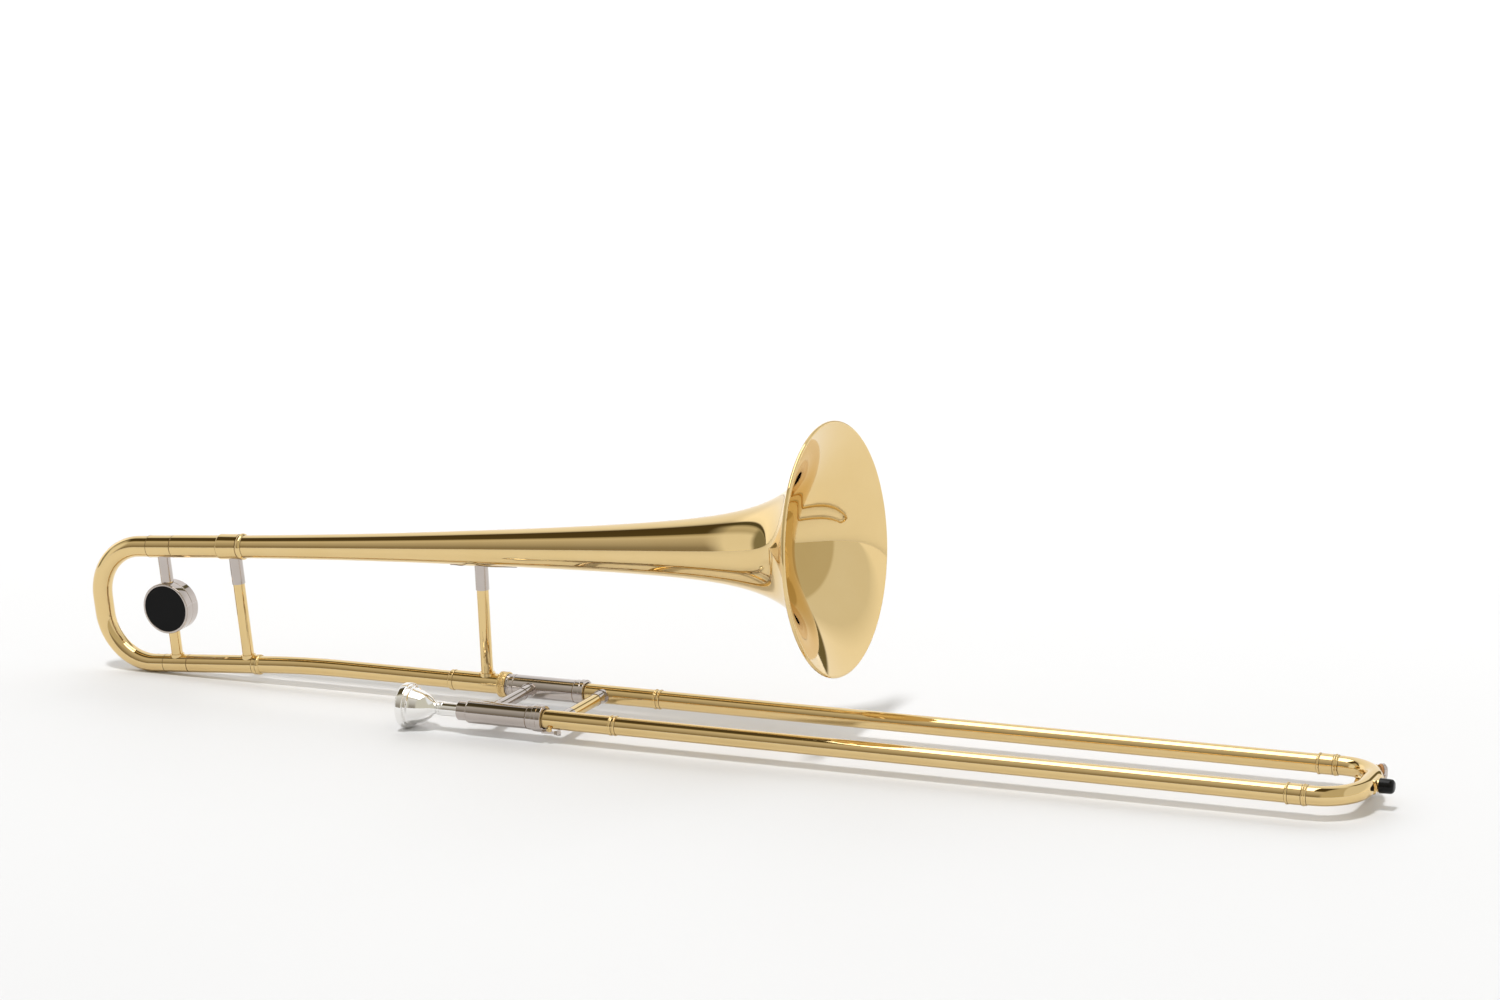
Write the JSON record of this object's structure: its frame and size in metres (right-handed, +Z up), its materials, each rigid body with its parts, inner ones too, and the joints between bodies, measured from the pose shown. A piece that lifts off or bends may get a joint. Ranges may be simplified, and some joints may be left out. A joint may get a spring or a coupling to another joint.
{
  "type": "trombone",
  "caption": "Straight tenor slide trombone in lacquered brass with nickel-silver slide fittings, mouthpiece, water key, tuning slide and round counterweight, lying at rest.",
  "frame": {"origin": "on the floor, under the centre of the bounding box", "axes": "+X along the hand slide towards its bow, +Y from the mouthpiece tube to the bell-side tube, +Z up from the floor"},
  "size_m": [1.1662, 0.204, 0.2591],
  "materials": {
    "brass_lacquered": "clear-lacquered polished yellow brass",
    "brass_knurled": "polished brass with straight knurling",
    "nickel_silver": "polished nickel silver",
    "silver_plate": "bright silver plate",
    "chromed_tube": "hard chrome, polished",
    "black_rubber": "glossy black moulded rubber",
    "black_enamel": "plain gloss black plate",
    "cork": "natural cork",
    "steel_spring": "drawn spring wire",
    "steel_screw": "plated screw"
  },
  "bodies": {
    "inner_slide": {"inner_tube_near": "chromed_tube", "inner_tube_far": "chromed_tube", "slide_stockings": "chromed_tube", "leadpipe": "brass_lacquered", "mouthpiece_receiver": "nickel_silver", "cork_barrel_far": "nickel_silver", "cork_barrel_near": "nickel_silver", "slide_corks": "cork", "slide_tenon": "nickel_silver", "inner_stay": "nickel_silver", "inner_stay_sleeves": "nickel_silver"},
    "slide_lock": {"slide_lock_ring": "nickel_silver", "lock_arm_screw": "steel_screw"},
    "outer_slide": {"outer_tube_near": "brass_lacquered", "outer_tube_far": "brass_lacquered", "grip_sleeves": "brass_lacquered", "grip_bands": "brass_lacquered", "outer_brace": "brass_lacquered", "outer_brace_sleeves": "nickel_silver", "lock_peg": "brass_lacquered", "bow_ferrules": "brass_lacquered", "slide_bow": "brass_lacquered", "water_key_nipple": "brass_lacquered", "water_key_saddle": "brass_lacquered", "water_key_pin": "steel_screw", "water_key_spring": "steel_spring", "bumper_base": "brass_lacquered", "bumper_foot": "black_rubber"},
    "water_key": {"water_key_lever": "nickel_silver", "water_key_cork": "cork"},
    "mouthpiece": {"mouthpiece": "silver_plate"},
    "bell_section": {"bell": "brass_lacquered", "bell_rim": "brass_lacquered", "bell_ferrule": "brass_lacquered", "tuning_sleeve_upper": "brass_lacquered", "tuning_sleeve_lower": "brass_lacquered", "gooseneck": "brass_lacquered", "gooseneck_ferrule": "brass_lacquered", "bell_receiver": "brass_lacquered", "receiver_collar": "brass_lacquered", "bell_brace_front": "brass_lacquered", "bell_brace_rear": "brass_lacquered", "bell_brace_sleeves": "nickel_silver", "bell_brace_feet": "brass_lacquered", "bell_patch": "brass_lacquered"},
    "lock_nut": {"bell_lock_nut": "brass_knurled"},
    "tuning_slide": {"tuning_crook": "brass_lacquered", "tuning_slide_ferrules": "brass_lacquered", "tuning_leg_lower": "nickel_silver", "tuning_leg_upper": "nickel_silver", "tuning_brace": "brass_lacquered", "tuning_brace_sleeve": "nickel_silver", "counterweight_front": "nickel_silver", "counterweight_back": "nickel_silver", "counterweight_badge": "black_enamel", "counterweight_screws": "steel_screw"}
  },
  "joints": [
    {"name": "hand_slide", "type": "slide", "parent": "inner_slide", "child": "outer_slide", "axis": [1, 0, 0], "range_m": [0, 0.575]},
    {"name": "slide_lock_turn", "type": "hinge", "parent": "inner_slide", "child": "slide_lock", "pos_m": [-0.10733, -0.07827, 0.0186], "axis": [-1, 0, 0], "range_deg": [0, 20]},
    {"name": "water_key_press", "type": "hinge", "parent": "outer_slide", "child": "water_key", "pos_m": [0.54653, -0.01211, 0.003], "axis": [-0.7071, 0.7071, 0], "range_deg": [0, 12], "stiffness_Nm_per_rad": 0.1, "springref_deg": -28.65},
    {"name": "mouthpiece_pull", "type": "slide", "parent": "inner_slide", "child": "mouthpiece", "axis": [-1, 0, 0], "range_m": [0, 0.03]},
    {"name": "bell_section_turn", "type": "hinge", "parent": "inner_slide", "child": "bell_section", "pos_m": [-0.20333, 0.00434, 0.0186], "axis": [1, 0, 0], "range_deg": [-40, 25]},
    {"name": "lock_nut_turn", "type": "hinge", "parent": "bell_section", "child": "lock_nut", "pos_m": [-0.18433, 0.00434, 0.0186], "axis": [1, 0, 0], "continuous": true},
    {"name": "tuning_slide_pull", "type": "slide", "parent": "bell_section", "child": "tuning_slide", "axis": [-0.9975, 0.0022, -0.0702], "range_m": [0, 0.05]}
  ]
}
